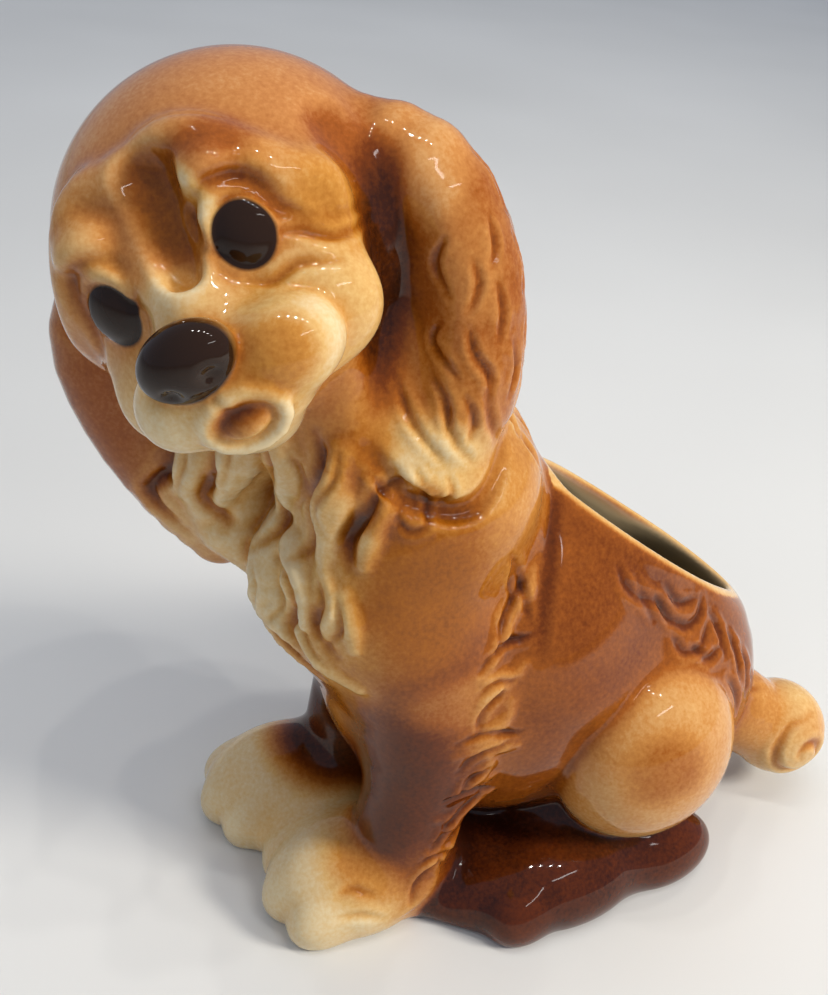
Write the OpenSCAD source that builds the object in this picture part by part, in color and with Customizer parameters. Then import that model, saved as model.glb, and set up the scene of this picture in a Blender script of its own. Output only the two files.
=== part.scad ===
// Sitting spaniel planter: a glazed earthenware figurine with an open pocket in its back.
// Millimetres. +Z up, the dog's chest faces -Y and its left side is +X.
// The origin is on the table, under the middle of the body.

/* [Body] */
// Half width of the body at the flanks
body_half_w = 36; // [33:0.5:38]
// Height of the belly form that the flanks follow
body_top = 120; // [116:1:124]
// How far the rump reaches behind the origin
rump_back = 72; // [69:1:75]
// Half width of the chest
chest_half_w = 32; // [29:0.5:34]

/* [Pocket] */
// Thickness of the earthenware wall
wall = 4.5; // [3.5:0.25:5.5]
// Thickness of the pocket's floor above the table
pocket_floor = 9; // [7:0.5:12]
// Height of the rim at the front of the pocket
rim_front_h = 118; // [115:1:120]
// Height of the rim at the back of the pocket
rim_back_h = 68; // [65:1:71]
// Radius of the rounded rim
rim_r = 2.6; // [2.2:0.1:3]

/* [Head] */
// Radius of the skull from ear to ear
skull_r = 37; // [35.5:0.5:38.5]
// Centre of the skull
head_at = [-19.5, -69, 167];
// How far the face turns from straight ahead towards the dog's left, in degrees
head_turn = 59; // [53:1:64]
// How far the head leans over to the dog's right, in degrees
head_lean = 37; // [32:1:41]
// How far the nose drops, in degrees
head_drop = 6; // [2:1:10]
// Radius of the muzzle
muzzle_r = 17; // [15.5:0.5:18]
// Half the distance between the eyes
eye_gap = 14.5; // [13.5:0.5:15.5]
// Radius of an eye
eye_r = 6; // [5:0.25:6.5]

/* [Legs] */
// Half the distance between the forepaws
paw_gap = 18; // [16.5:0.5:19.5]
// Half width of a forepaw
paw_r = 17; // [15.5:0.5:18]
// How far the right forepaw stands ahead of the left one
paw_lead = 7; // [4:1:9]
// Radius of a haunch
haunch_r = 25.5; // [23.5:0.5:26.5]

/* [Tail] */
// Radius of the curled tail
tail_r = 14; // [12.5:0.5:14.5]

/* [Hidden] */

fine = 30;
plain = 22;
small = 16;

// The rim lies on a slanted oval, seen here in its own flat frame.
rim_front_y = -4.5;
rim_back_y = 64.5;
rim_slope = atan2(rim_front_h - rim_back_h, rim_back_y - rim_front_y);
rim_mid = [2, (rim_front_y + rim_back_y) / 2, (rim_front_h + rim_back_h) / 2];
rim_half_l = (rim_back_y - rim_front_y) / 2 / cos(rim_slope);
rim_half_w = 19;
left = 1;
right = -1;

// An ellipsoid at a place, turned about its own centre.
module egg(at, radii, turn = [0, 0, 0], sides = plain) {
  hull() translate(at) rotate(turn) scale(radii) sphere(1, $fn = sides);
}

// A smooth run of round beads, each given as [x, y, z, radius].
module strand(beads, sides = small) {
  for (i = [0 : len(beads) - 2])
    hull() for (bead = [beads[i], beads[i + 1]])
      translate([bead[0], bead[1], bead[2]]) sphere(bead[3], $fn = sides);
}

// The same run mirrored onto the other side of the body.
function mirrored(beads, side) = [for (b = beads) [side * b[0], b[1], b[2], b[3]]];

// Everything above the table.
module above_table() {
  translate([-150, -150, 0]) cube([300, 300, 300]);
}

// The frame of the face: the nose looks along -Y, the crown is up.
module at_head() {
  translate(head_at) rotate([0, 0, head_turn]) rotate([-head_drop, 0, 0])
    rotate([0, -head_lean, 0]) children();
}

// The frame of the rim: +Z leaves the pocket, +Y runs towards the tail.
module at_rim() {
  translate(rim_mid) rotate([-rim_slope, 0, 0]) children();
}

// A flat oval plate with its top face on the rim's plane, or a tall column above it.
module rim_oval(inset, below = 1, above = 0) {
  at_rim() translate([0, 0, -below])
    scale([rim_half_w - inset, rim_half_l - inset, 1])
      cylinder(r = 1, h = below + above, $fn = fine);
}

// --- Plain forms that the pieces are cut from and against ---

module trunk_form(inset = 0) {
  hull() {
    rim_oval(inset);
    translate([0, -6, 61]) scale([body_half_w - inset, 37 - inset, body_top - 71 - inset])
      sphere(1, $fn = fine);
    translate([2, 30, 45]) scale([body_half_w - inset, rump_back - 30 - inset, 40 - inset])
      sphere(1, $fn = fine);
  }
}

module chest_form() {
  hull() {
    translate([-2, -41, 92]) scale([chest_half_w, 28, 32]) sphere(1, $fn = fine);
    translate([0, -30, 62]) scale([chest_half_w - 2, 24, 32]) sphere(1, $fn = fine);
  }
}

module neck_form() {
  hull() {
    translate([0, -35, 113]) scale([27, 28, 24]) sphere(1, $fn = plain);
    translate([-11, -52, 146]) scale([24, 25, 22]) sphere(1, $fn = plain);
  }
}

module head_form(inset = 0) {
  at_head() hull() {
    translate([0, 3, 3])
      scale([skull_r - inset, skull_r + 1 - inset, skull_r - 1 - inset])
        sphere(1, $fn = fine);
    translate([0, -12, -8]) scale([27 - inset, 24 - inset, 20 - inset])
      sphere(1, $fn = plain);
  }
}

// The pocket, with the clear way out above it.
module pocket_form() {
  intersection() {
    trunk_form(wall);
    translate([-60, -60, pocket_floor]) cube([120, 140, 140]);
  }
  hull() rim_oval(wall, 0.5, 30);
}

// The hollow that runs from the pocket through the chest and neck into the head.
module core_form() {
  hull() {
    translate([0, -10, 72]) scale([24, 20, 26]) sphere(1, $fn = plain);
    translate([-2, -40, 92]) scale([chest_half_w - 6, 21, 24]) sphere(1, $fn = plain);
  }
  hull() {
    translate([-2, -40, 96]) sphere(20, $fn = plain);
    translate([-12, -55, 140]) sphere(16, $fn = plain);
  }
  head_form(6);
}

module muzzle_form() {
  at_head() {
    egg([0, -35, -15], [muzzle_r, 15, muzzle_r - 3.5]);
    for (side = [left, right])
      egg([side * 7, -39, -15], [9, 9, 8], sides = small);
  }
}

module chin_form() {
  at_head() egg([-1, -31, -25], [10.5, 12, 8], [-20, 0, 0], small);
}

module nose_form() {
  at_head() egg([0, -48, -7], [9, 6, 7.5], [14, 0, 0]);
}

module eye_form(side) {
  at_head() egg([side * eye_gap, -33, 3], [eye_r, 3.6, eye_r + 0.6], [0, 0, side * 22], small);
}

module ear_form(side) {
  if (side == left)
    hull_run([
      [[-12, -47, 190], [9, 12, 10]], [[-3, -38, 183], [12, 15, 13]],
      [[4, -33, 166], [13, 16, 14]], [[7, -33, 148], [13, 16, 14]],
      [[9, -36, 132], [11, 13, 11]]]);
  else
    hull_run([
      [[-36, -90, 158], [10, 12, 11]], [[-38, -93, 142], [13, 14, 13]],
      [[-36, -89, 125], [14, 14, 14]], [[-30, -81, 108], [12, 12, 12]],
      [[-24, -73, 95], [9, 9, 9]]]);
}

// A run of ellipsoids, each given as [centre, radii], joined in pairs.
module hull_run(eggs, sides = plain) {
  for (i = [0 : len(eggs) - 2])
    hull() for (e = [eggs[i], eggs[i + 1]])
      translate(e[0]) scale(e[1]) sphere(1, $fn = sides);
}

module foreleg_form(side) {
  hull_run([
    [[side * 17, -34, 78], [16, 20, 20]],
    [[side * 20, -34, 48], [12, 14, 16]],
    [[side * paw_gap, -38, 16], [12, 14, 14]]], sides = small + 2);
}

module forepaw_form(side) {
  lead = side == right ? paw_lead : 0;
  intersection() {
    union() {
      egg([side * paw_gap, -51 - lead, 8], [paw_r, 21, 15]);
      for (toe = [-1 : 1])
        egg([side * paw_gap + toe * 9.5, -64 - lead + 3 * abs(toe), 6], [6.5, 8.5, 8.5],
            sides = small);
    }
    above_table();
  }
}

module haunch_form(side) {
  egg([side * 30, 24, 43.5], [20.5, haunch_r, haunch_r + 1.5], [0, 0, side * 6], fine);
}

module hind_foot_form(side) {
  intersection() {
    union() {
      egg([side * 37, 2, 7], [14, 25, 14]);
      for (toe = [-1 : 1])
        egg([side * 37 + toe * 8, -17 + 3 * abs(toe), 6], [6, 8.5, 8.5], sides = small);
    }
    above_table();
  }
}

module base_form() {
  hull() for (p = [[0, -36, 20], [24, 38, 16], [-24, 38, 16]])
    translate([p[0], p[1], 0]) cylinder(r1 = p[2], r2 = p[2] - 3, h = 14, $fn = plain);
}

// A few overlapping tufts of fur, each a short tapered run of beads.
module tufts(roots, tips, thick, thin) {
  for (i = [0 : len(roots) - 1])
    hull() {
      translate(roots[i]) sphere(thick, $fn = small - 4);
      translate((roots[i] + tips[i]) / 2) sphere((thick + thin) / 2, $fn = small - 4);
      translate(tips[i]) sphere(thin, $fn = small - 4);
    }
}

module chest_ruff_form() {
  for (side = [left, right])
    tufts([[side * 5 - 3, -56, 116], [side * 14 - 3, -52, 108], [side * 4 - 3, -60, 98]],
          [[side * 8 - 3, -66, 96], [side * 18 - 3, -60, 86], [side * 5 - 3, -66, 78]], 9, 4);
}

module throat_ruff_form() {
  tufts([[4, -58, 142], [-8, -66, 136], [14, -50, 136], [-20, -66, 128]],
        [[5, -66, 122], [-6, -72, 116], [16, -58, 118], [-14, -70, 110]], 8, 4);
}

module flank_locks_form(side) {
  strand(mirrored([[27, -14, 104, 4], [32, -15, 90, 6], [34, -14, 76, 6], [34, -17, 62, 6.5],
                   [33, -20, 48, 6], [31, -24, 34, 6.5], [30, -28, 20, 7], [30, -32, 8, 7]],
                  side), small - 2);
}

module tail_root_form() {
  strand([[8, 58, 36, 13], [13, 71, 29, 12], [18, 81, 23, 10]]);
}

module tail_curl_form() {
  egg([19.5, 85.5, 20.5], [tail_r, tail_r, tail_r]);
}

module brow_form(side) {
  at_head() strand([[side * 5, -34, 13, 3.6], [side * 13, -33.5, 15, 4.6],
                    [side * 21, -28, 11.5, 3.6], [side * 26, -24, 4, 2.6]], small - 4);
}

module cheek_form(side) {
  at_head() egg([side * 15, -27, -13], [12, 10, 11], sides = small);
}

// --- The pieces ---

module planter_body() {
  color("#8c4a22") difference() {
    trunk_form();
    pocket_form();
    core_form();
    tail_root_form();
  }
}

// A half-round bead that sits on the cut edge of the pocket.
module pocket_rim() {
  count = 32;
  color("#c9a36a") at_rim() intersection() {
    for (i = [0 : count - 1])
      hull() for (k = [i, i + 1]) {
        a = k * 360 / count;
        translate([(rim_half_w - wall / 2) * cos(a), (rim_half_l - wall / 2) * sin(a), 0])
          sphere(rim_r, $fn = 8);
      }
    translate([-50, -60, 0]) cube([100, 120, 10]);
  }
}

module chest() {
  color("#b5793a") difference() {
    chest_form();
    trunk_form();
    core_form();
  }
}

module neck() {
  color("#a9682f") difference() {
    neck_form();
    hull() rim_oval(0, 0, 30);
    chest_form();
    trunk_form();
    head_form();
    core_form();
  }
}

module chest_ruff() {
  color("#e3c793") difference() {
    chest_ruff_form();
    chest_form();
    neck_form();
  }
}

module throat_ruff() {
  color("#e8d0a0") difference() {
    throat_ruff_form();
    chest_ruff_form();
    chest_form();
    neck_form();
    head_form();
    muzzle_form();
    chin_form();
    ear_form(right);
  }
}

module head() {
  color("#bd8450") difference() {
    head_form();
    head_form(6);
    core_form();
    eye_form(left);
    eye_form(right);
  }
}

module muzzle() {
  color("#dcb882") difference() {
    muzzle_form();
    head_form();
    tongue_form();
  }
}

module chin() {
  color("#e6cfa4") difference() {
    chin_form();
    head_form();
    muzzle_form();
    tongue_form();
  }
}

module tongue_form() {
  at_head() egg([0, -43, -25.5], [5.5, 4, 4.5], [-35, 0, 0], small);
}

module tongue() {
  color("#8d4a22") difference() {
    tongue_form();
    head_form();
  }
}

module nose() {
  color("#2a1a14") difference() {
    nose_form();
    muzzle_form();
    head_form();
  }
}

module eye(side) {
  color("#2b1c15") difference() {
    eye_form(side);
    head_form(4);
  }
}

module brow(side) {
  color("#b06a38") difference() {
    brow_form(side);
    head_form();
    eye_form(side);
  }
}

module cheek(side) {
  color("#d8ab6e") difference() {
    cheek_form(side);
    head_form();
    muzzle_form();
    chin_form();
    eye_form(side);
  }
}

module ear(side) {
  color("#9c5527") difference() {
    ear_form(side);
    head_form();
    neck_form();
    chest_form();
    trunk_form();
    cheek_form(side);
  }
}

module foreleg(side) {
  color("#7c3d1f") difference() {
    foreleg_form(side);
    chest_form();
    trunk_form();
    forepaw_form(side);
  }
}

module forepaw(side) {
  color("#e4cfa2") forepaw_form(side);
}

module haunch(side) {
  color("#c98d4e") difference() {
    haunch_form(side);
    trunk_form();
  }
}

module hind_foot(side) {
  color("#5d2c1a") difference() {
    hind_foot_form(side);
    haunch_form(side);
    trunk_form();
  }
}

module flank_locks(side) {
  color("#a55f2c") intersection() {
    difference() {
      flank_locks_form(side);
      trunk_form();
      chest_form();
      neck_form();
      foreleg_form(side);
      hind_foot_form(side);
      forepaw_form(side);
    }
    above_table();
  }
}

module base() {
  color("#4e2417") difference() {
    base_form();
    trunk_form();
    for (side = [left, right]) {
      foreleg_form(side);
      forepaw_form(side);
      hind_foot_form(side);
      haunch_form(side);
      flank_locks_form(side);
    }
  }
}

module tail_root() {
  color("#a3622f") difference() {
    tail_root_form();
    pocket_form();
  }
}

module tail_curl() {
  color("#dfc091") difference() {
    tail_curl_form();
    tail_root_form();
    trunk_form();
  }
}

planter_body();
pocket_rim();
chest();
neck();
chest_ruff();
throat_ruff();
head();
muzzle();
chin();
nose();
tongue();
eye(left);  // eye_left
eye(right);  // eye_right
brow(left);  // brow_left
brow(right);  // brow_right
cheek(left);  // cheek_left
cheek(right);  // cheek_right
ear(left);  // ear_left
ear(right);  // ear_right
foreleg(left);  // foreleg_left
foreleg(right);  // foreleg_right
forepaw(left);  // forepaw_left
forepaw(right);  // forepaw_right
haunch(left);  // haunch_left
haunch(right);  // haunch_right
hind_foot(left);  // hind_foot_left
hind_foot(right);  // hind_foot_right
flank_locks(left);  // flank_locks_left
flank_locks(right);  // flank_locks_right
base();
tail_root();
tail_curl();
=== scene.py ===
"""Looks for the sitting spaniel planter: one sculpted glaze surface, split into the named pieces.

The dog is modelled as a blended distance field in millimetres, in the frame of the CAD model. The
field is turned into one closed mesh, its fur is cut with sculpting strokes, and the faces are then
shared out among the pieces, so neighbouring pieces meet without a seam.
"""
import math
from concurrent.futures import ThreadPoolExecutor
from itertools import combinations

import bpy
import numpy as np
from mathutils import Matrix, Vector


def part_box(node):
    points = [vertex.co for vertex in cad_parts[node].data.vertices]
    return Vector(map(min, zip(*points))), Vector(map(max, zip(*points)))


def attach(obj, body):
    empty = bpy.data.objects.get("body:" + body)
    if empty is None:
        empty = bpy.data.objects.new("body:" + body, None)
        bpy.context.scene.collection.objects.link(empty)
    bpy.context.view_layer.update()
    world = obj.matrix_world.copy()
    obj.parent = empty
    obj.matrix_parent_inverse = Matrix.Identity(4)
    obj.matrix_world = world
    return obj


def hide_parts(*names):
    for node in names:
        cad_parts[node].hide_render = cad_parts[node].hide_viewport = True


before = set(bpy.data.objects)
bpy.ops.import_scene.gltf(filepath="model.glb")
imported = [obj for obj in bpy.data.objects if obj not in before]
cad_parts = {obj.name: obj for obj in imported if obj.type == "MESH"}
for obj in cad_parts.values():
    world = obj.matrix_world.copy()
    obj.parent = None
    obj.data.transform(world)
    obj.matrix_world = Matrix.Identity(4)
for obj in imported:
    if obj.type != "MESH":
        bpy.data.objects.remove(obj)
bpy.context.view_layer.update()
MM = 0.001
VOXEL = 0.74
BLOCK = 4  # grid cells along a block that is sampled or skipped whole
FAR = 50.0
WORKERS = 4
X, Y, Z = 0, 1, 2
LEFT, RIGHT = 1, -1
SIDES = ((LEFT, "left"), (RIGHT, "right"))
CUBE = [(dx, dy, dz) for dx in (0, 1) for dy in (0, 1) for dz in (0, 1)]

# --- Small vector helpers ---


def vec(*values):
    return np.array(values, dtype=np.float32)


def turned(axis, degrees):
    """The matrix of a turn about one axis."""
    c, s = math.cos(math.radians(degrees)), math.sin(math.radians(degrees))
    a, b = (axis + 1) % 3, (axis + 2) % 3
    matrix = np.eye(3, dtype=np.float32)
    matrix[a, a] = matrix[b, b] = c
    matrix[a, b], matrix[b, a] = -s, s
    return matrix


def middle(node):
    """The centre of a CAD node's box, in millimetres."""
    low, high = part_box(node)
    return ((np.array(low) + np.array(high)) / 2 / MM).astype(np.float32)


def length(p):
    return np.sqrt(np.einsum("ij,ij->i", p, p))


def ramp(x, low, high):
    """A smooth step from 0 at low to 1 at high."""
    t = np.clip((x - low) / (high - low), 0, 1)
    return t * t * (3 - 2 * t)


def soft_min(a, b, blend):
    """The smaller of two fields, rounded where they meet."""
    if blend <= 0:
        return np.minimum(a, b)
    h = np.maximum(blend - np.abs(a - b), 0) / blend
    return np.minimum(a, b) - h * h * blend / 4


def soft_max(a, b, blend):
    return -soft_min(-a, -b, blend)


# --- Places: the frames that forms are given in ---


class Place:
    """A rigid frame: local axes and an origin, in millimetres."""

    def __init__(self, axes, origin):
        self.axes = np.asarray(axes, dtype=np.float32)
        self.origin = np.asarray(origin, dtype=np.float32)

    def inside(self, p):
        return (p - self.origin) @ self.axes

    def outside(self, p):
        return np.asarray(p, dtype=np.float32) @ self.axes.T + self.origin


WORLD = Place(np.eye(3), (0, 0, 0))
HEAD_AXES = turned(Z, 59) @ turned(X, -6) @ turned(Y, -37)
SKULL_AT = vec(0, 3, 3)
SKULL_R = vec(37, 38, 36)
HEAD = Place(HEAD_AXES, middle("head") - HEAD_AXES @ SKULL_AT)
RIM_SLOPE = 36
RIM = Place(turned(X, -RIM_SLOPE), (2, 30, 93))
RIM_HALF_W = 19
RIM_HALF_L = 42.5
WALL = 4.5
POCKET_FLOOR = 9
SHELL = 2.0
RIM_BAND = 3.0

# --- Forms ---


class Form:
    """A distance function with the box outside which it can be left out."""

    def __init__(self, distance, low, high, place=WORLD):
        self.distance = distance
        corners = place.outside(np.where(CUBE, high, low))
        self.low = corners.min(axis=0)
        self.high = corners.max(axis=0)

    def near(self, cols, margin):
        """The indices of the points in the form's box, widened by a margin."""
        keep = None
        for axis in range(3):
            c = cols[axis]
            part = (c > self.low[axis] - margin) & (c < self.high[axis] + margin)
            keep = part if keep is None else keep & part
        return np.flatnonzero(keep)


def egg_distance(q, radii):
    k0 = length(q / radii)
    k1 = length(q / (radii * radii))
    return k0 * (k0 - 1) / np.maximum(k1, 1e-6)


def egg(at, radii, turn=None, place=WORLD):
    """An ellipsoid, turned about its own centre."""
    at = vec(*at)
    radii = vec(*radii)
    axes = place.axes if turn is None else place.axes @ turn
    centre = place.outside(at)
    reach = float(radii.max())

    def distance(p):
        return egg_distance((p - centre) @ axes, radii)

    return Form(distance, at - reach, at + reach, place)


def smooth_path(beads, per_span):
    """Points on a smooth curve through the beads."""
    beads = np.asarray(beads, dtype=np.float32)
    if len(beads) < 3 or per_span < 2:
        return beads
    padded = np.concatenate([[2 * beads[0] - beads[1]], beads, [2 * beads[-1] - beads[-2]]])
    out = []
    for i in range(len(beads) - 1):
        a, b, c, d = padded[i], padded[i + 1], padded[i + 2], padded[i + 3]
        for step in range(per_span):
            t = step / per_span
            out.append(0.5 * (2 * b + (c - a) * t + (2 * a - 5 * b + 4 * c - d) * t * t
                              + (3 * b - a - 3 * c + d) * t * t * t))
    out.append(beads[-1])
    return np.array(out, dtype=np.float32)


def beside(q, a, b):
    """How far along the line from a to b each point lies, and its offset from the line."""
    ab = b - a
    t = np.clip((q - a) @ ab / max(float(ab @ ab), 1e-6), 0, 1)
    return t, q - a - t[:, None] * ab


def run(beads, place=WORLD, per_span=3):
    """A smooth run of beads, each (x, y, z, radius) or (x, y, z, radius x, y, z)."""
    beads = smooth_path(beads, per_span)
    reach = beads[:, 3:].max()
    round_beads = beads.shape[1] == 4

    def distance(p):
        q = place.inside(p)
        best = None
        for first, second in zip(beads[:-1], beads[1:]):
            t, away = beside(q, first[:3], second[:3])
            size = first[3:] + t[:, None] * (second[3:] - first[3:])
            d = length(away) - size[:, 0] if round_beads else egg_distance(away, size)
            best = d if best is None else np.minimum(best, d)
        return best

    return Form(distance, beads[:, :3].min(axis=0) - reach, beads[:, :3].max(axis=0) + reach, place)


def trunk_tube(p):
    """The body's wall below the rim: an oval tube that widens downwards, open at the top."""
    q = RIM.inside(p)
    depth = np.clip(-q[:, 2], 0, 60)
    half_w = RIM_HALF_W + 15 * ramp(depth, -6, 46)
    half_l = RIM_HALF_L + 1.5 * ramp(depth, 0, 20) - 9 * ramp(depth, 20, 60)
    x, y = q[:, 0], q[:, 1]
    k0 = np.sqrt((x / half_w) ** 2 + (y / half_l) ** 2)
    k1 = np.sqrt((x / half_w ** 2) ** 2 + (y / half_l ** 2) ** 2)
    return soft_max(k0 * (k0 - 1) / np.maximum(k1, 1e-6), -40 - q[:, 2], 10)


BELLY = egg((0, -6, 61), (36, 37, 49))
RUMP = egg((2, 30, 45), (36, 42, 40))


def trunk_outside(p):
    """The trunk's outer form, running on above the rim."""
    d = soft_min(BELLY.distance(p), RUMP.distance(p), 8)
    return soft_min(d, trunk_tube(p), 9)


def trunk(p):
    return soft_max(trunk_outside(p), RIM.inside(p)[:, 2], 3.4)


def pocket(p):
    """The open space inside the wall, down to the pocket's floor."""
    inner = soft_max(trunk_outside(p) + WALL, POCKET_FLOOR - p[:, 2], 6)
    above = RIM.inside(p)[:, 2]
    lip = trunk_tube(p) + WALL - 1.2 * ramp(above, -5, 1)
    column = soft_max(lip, -10 - above, 2)
    return np.minimum(inner, column)


TRUNK = Form(trunk, (-42, -48, -5), (42, 80, 130))
POCKET = Form(pocket, (-42, -48, 0), (42, 80, 170))

# --- The figure: every form, what it joins, and the piece that it belongs to ---


class Figure:
    def __init__(self):
        self.steps = []

    def add(self, form, blend, piece, cut=False):
        self.steps.append((form, blend, piece, cut))

    def distance(self, p):
        d = np.full(len(p), FAR, dtype=np.float32)
        cols = np.ascontiguousarray(p.T)
        for form, blend, _, cut in self.steps:
            near = form.near(cols, blend + 7)
            if len(near) == 0:
                continue
            there = form.distance(p[near]).astype(np.float32)
            d[near] = soft_max(d[near], -there, blend) if cut else soft_min(d[near], there, blend)
        return soft_max(d, -p[:, 2], 1.6)

    def nearest_piece(self, p):
        """Each point's nearest piece, then the stain and warmth of the forms around it."""
        best = np.full(len(p), FAR, dtype=np.float32)
        found = np.zeros((len(p), 3), dtype=np.float32)
        weight = np.full(len(p), 1e-6, dtype=np.float32)
        cols = np.ascontiguousarray(p.T)
        for form, _, piece, cut in self.steps:
            if piece is None:
                continue
            near = form.near(cols, 9)
            there = np.abs(form.distance(p[near])) if cut else form.distance(p[near])
            better = there < best[near]
            chosen = near[better]
            best[chosen] = there[better]
            found[chosen, 0] = PIECES.index(piece)
            share = np.exp(-np.clip(there, -2, 12) / 2.0)
            weight[near] += share
            for channel in (1, 2):
                found[near, channel] += share * LOOKS[piece][channel]
        found[:, 1:] /= weight[:, None]
        return found


def in_parts(work, p):
    """Runs a function of many points on several cores."""
    parts = np.array_split(p, WORKERS * 6)
    with ThreadPoolExecutor(WORKERS) as pool:
        return np.concatenate(list(pool.map(work, parts)))


def cast(dog, starts, headings, steps=26):
    """Where rays from outside first meet the figure."""
    p = np.array(starts, dtype=np.float32)
    headings = np.array(headings, dtype=np.float32)
    for _ in range(steps):
        p += headings * np.clip(dog.distance(p), -1, 9)[:, None]
    return p


# Views: for each, the ray through (a, b) starts beside the figure and heads towards it.


def from_left(a, b):
    return (60, a, b), (-1, 0, 0)


def from_right(a, b):
    return (-75, a, b), (1, 0, 0)


def from_front(a, b):
    return (a, -112, b), (0, 1, 0)


def from_behind(a, b):
    return (a, 110, b), (0, -1, 0)


def from_face(a, b):
    """Along the head's own forward axis."""
    return tuple(HEAD.outside(vec(a, -62, b))), tuple(HEAD.axes @ vec(0, 1, 0))


def on_surface(dog, views, points):
    """Points of the figure, each given as a and b in the view that it is seen from."""
    rays = [view(a, b) for view, (a, b) in zip(views, points)]
    return cast(dog, [r[0] for r in rays], [r[1] for r in rays])


def set_in(dog, runs):
    """Runs of beads set into the surface; each bead is given as a, b, radius and rise."""
    views = [view for _, view, beads in runs for _ in beads]
    beads = [bead for _, _, run_beads in runs for bead in run_beads]
    places = on_surface(dog, views, [bead[:2] for bead in beads])
    _, slope = field_and_slope(dog, places)
    normal = slope / np.maximum(length(slope), 1e-6)[:, None]
    out, at = [], 0
    for _, _, run_beads in runs:
        placed = []
        for _, _, radius, rise in run_beads:
            placed.append(tuple(places[at] - normal[at] * (radius - rise)) + (radius,))
            at += 1
        out.append(placed)
    return out


def add_body(dog):
    dog.add(TRUNK, 0, "planter_body")
    dog.add(egg((-2, -41, 92), (32, 27, 31)), 8, "chest")
    dog.add(egg((0, -30, 62), (30, 24, 32)), 10, "chest")
    dog.add(run([(0, -33, 115, 28, 28, 26), (-9, -47, 146, 24, 25, 22)]), 9, "neck")
    for side, name in SIDES:
        dog.add(egg((side * 30, 24, 43.5), (20.5, 25.5, 27), turned(Z, side * 6)), 1.6,
                "haunch_" + name)
    dog.add(POCKET, 2.2, "planter_body", cut=True)


PAW_AT = {LEFT: (17, -50), RIGHT: (-19, -57)}


def add_toes(dog, at, spread, back, radii, blend, piece):
    """Three toes; the outer two lie a little further back."""
    for toe in (-1, 0, 1):
        dog.add(egg((at[0] + toe * spread, at[1] + back * abs(toe), at[2]), radii), blend, piece)


def add_legs(dog):
    for side, name in SIDES:
        paw_x, paw_y = PAW_AT[side]
        dog.add(run([(side * 17, -34, 80, 15, 18, 20), (side * 20, -34, 50, 12.5, 14, 16),
                     (side * 19, -38, 16, 13, 14, 14)]), 7, "foreleg_" + name)
        dog.add(egg((paw_x, paw_y, 8), (17.5, 23, 15.5)), 6, "forepaw_" + name)
        add_toes(dog, (paw_x, paw_y - 15, 6), 10, 3.5, (6.6, 9.5, 9.5), 2.2, "forepaw_" + name)
        dog.add(egg((side * 36, 2, 7), (14, 25, 13.5)), 2.5, "hind_foot_" + name)
        add_toes(dog, (side * 36, -17, 6), 8, 3, (6.2, 8.5, 8.5), 4, "hind_foot_" + name)
        dog.add(egg((side * 36, 31, 6), (11, 19, 11)), 5, "base")
        dog.add(egg((side * 20, -14, 4), (22, 26, 12)), 6, "base")
        dog.add(egg((side * 22, 12, 10), (16, 20, 17)), 4, "base")
    dog.add(egg((-1, -52, 6), (16, 17, 11)), 6, "forepaw_left")


def add_tail(dog):
    dog.add(run([(6, 50, 37, 14), (12, 66, 30, 13), (16, 76, 24, 12)]), 4, "tail_root")
    curl = middle("tail_curl")
    dog.add(egg(curl + vec(-1, -1, -0.5), (14.2, 14.2, 14)), 2.0, "tail_curl")


def on_face(x, z, radius, rise):
    """A bead set into the front of the skull so that it stands proud by rise."""
    side, up = x / SKULL_R[0], (z - SKULL_AT[2]) / SKULL_R[2]
    front = -math.sqrt(max(1 - side * side - up * up, 0.02))
    p = vec(x, SKULL_AT[1] + front * SKULL_R[1], z)
    out = vec(side, front, up) / SKULL_R
    out /= np.linalg.norm(out)
    return tuple(p - out * (radius - rise)) + (radius,)


def face_ridge(beads, side):
    """A run of beads along the skull, each given as x, z, radius and rise."""
    return run([on_face(side * x, z, radius, rise) for x, z, radius, rise in beads], HEAD)


EYE_X, EYE_Z, EYE_TURN = 14.4, 4.4, 18
NOSE_X, NOSE_Z, NOSE_TURN = -1, -7, 14
BROW_ARCH = [(3, 23.5, 2.6, 1.8), (9, 24, 3.2, 3.4), (14.5, 21, 3.6, 4.0), (19.5, 15.5, 3.6, 3.8),
             (24, 9.5, 3.6, 3.4), (29, 4, 3.4, 2.4), (33, -1, 3, 1.2)]
BROW_INNER = [(12.5, 22, 2.6, 3.0), (12.3, 17, 2.4, 3.0), (11.5, 12, 2.2, 3.0),
              (9.5, 8, 2.0, 2.8), (7, 4, 2.0, 2.2)]
UPPER_LID = [(8.6, 6.5, 1.2, 1.8), (10.5, 11, 1.5, 2.2), (14.5, 12.6, 1.8, 2.4),
             (18.6, 10.8, 1.8, 2.3), (21.5, 6, 1.8, 2.2), (24.5, 0, 1.7, 1.9),
             (28, -4, 1.4, 0.8)]
LOWER_LID = [(9.2, 2, 1.1, 1.5), (11.4, -1.6, 1.3, 1.6), (15, -3.2, 1.4, 1.6),
             (18.6, -1.6, 1.3, 1.5), (22, -2.5, 1.6, 1.6), (25.5, -6.5, 1.6, 1.0)]


def head_egg(at, radii, turn=None):
    return egg(at, radii, turn, HEAD)


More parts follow.
